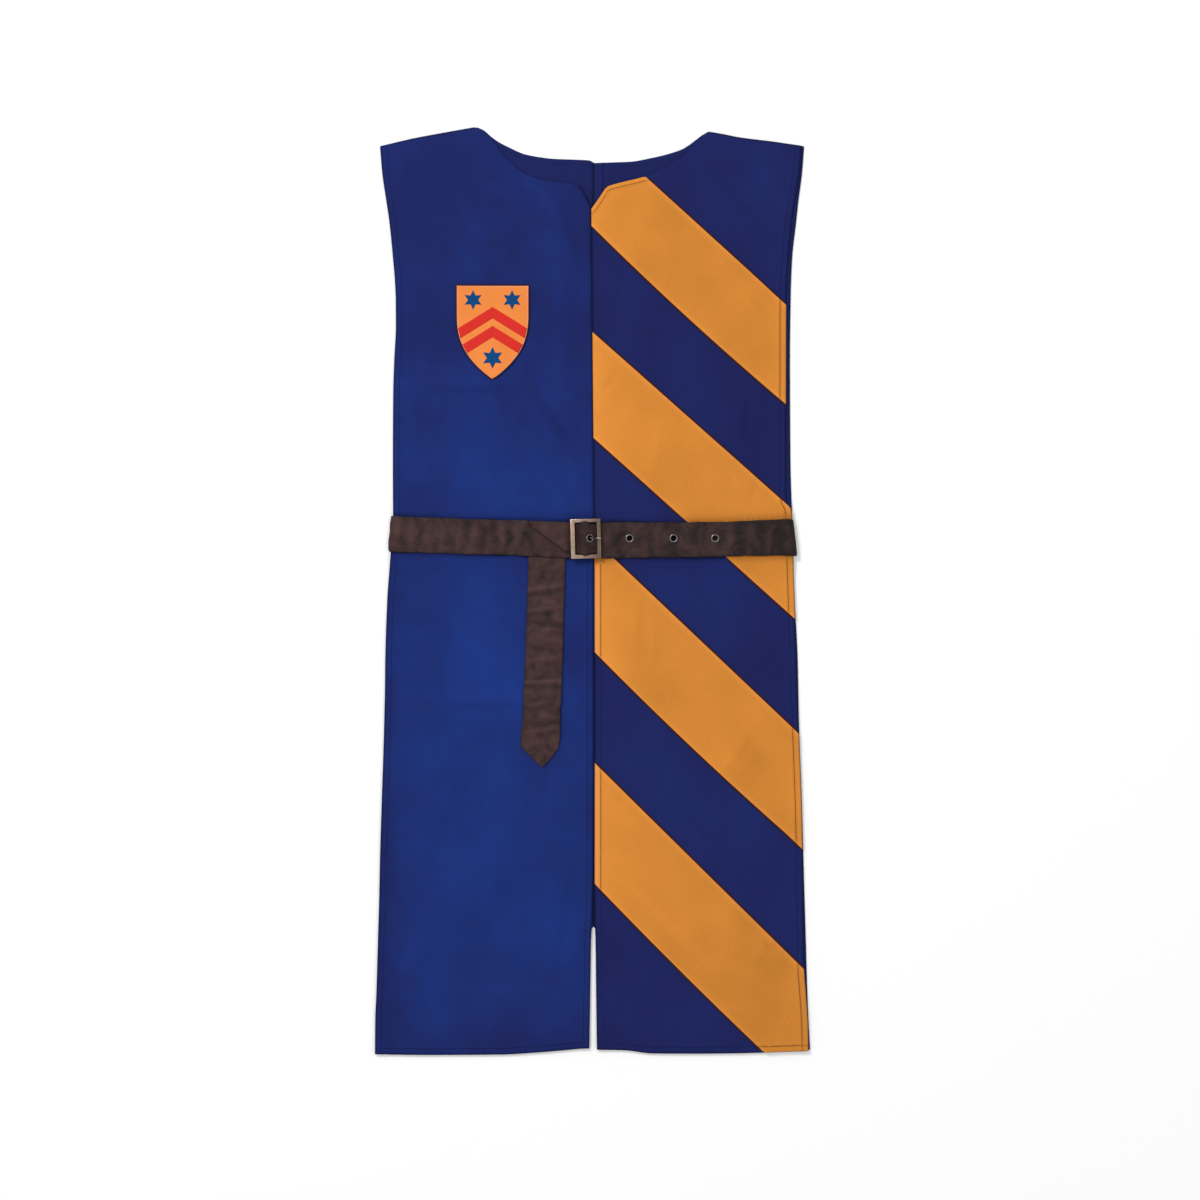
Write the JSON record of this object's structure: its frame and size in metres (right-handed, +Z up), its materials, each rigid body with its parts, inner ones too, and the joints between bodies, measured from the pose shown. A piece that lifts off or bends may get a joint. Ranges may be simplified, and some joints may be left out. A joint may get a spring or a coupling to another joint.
{
  "type": "medieval surcoat with belt",
  "caption": "Open-sided costume surcoat laid flat, with diagonal stripes, a shield patch, slit hem and buckled strap belt",
  "frame": {"origin": "centre of the bounding box at the surface the coat lies on", "axes": "+Y along the length up to the neck, +X to the right as seen from above, +Z up out of the front"},
  "size_m": [0.4347, 0.927, 0.0155],
  "materials": {
    "blue_cloth": "royal blue brushed polyester, matt with a soft nap",
    "yellow_cloth": "golden yellow polyester, matt",
    "patch_cloth": "orange cloth patch with printed motifs",
    "belt_leather": "dark brown imitation leather, creased, semi-matt",
    "buckle_metal": "antique brass, worn bright on the edges",
    "eyelet_metal": "nickel-plated, slightly dull"
  },
  "bodies": {
    "root": {"back_left": "blue_cloth", "back_right": "blue_cloth", "front_left": "blue_cloth", "front_right": "blue_cloth", "stripe_1": "yellow_cloth", "stripe_2": "yellow_cloth", "stripe_3": "yellow_cloth", "stripe_4": "yellow_cloth", "shield_patch": "patch_cloth", "belt_back": "belt_leather", "belt_buckle_end": "belt_leather", "belt_hole_end": "belt_leather", "belt_tail": "belt_leather", "buckle_frame": "buckle_metal", "buckle_prong": "eyelet_metal", "eyelet_1": "eyelet_metal", "eyelet_2": "eyelet_metal", "eyelet_3": "eyelet_metal", "eyelet_4": "eyelet_metal"}
  },
  "joints": []
}
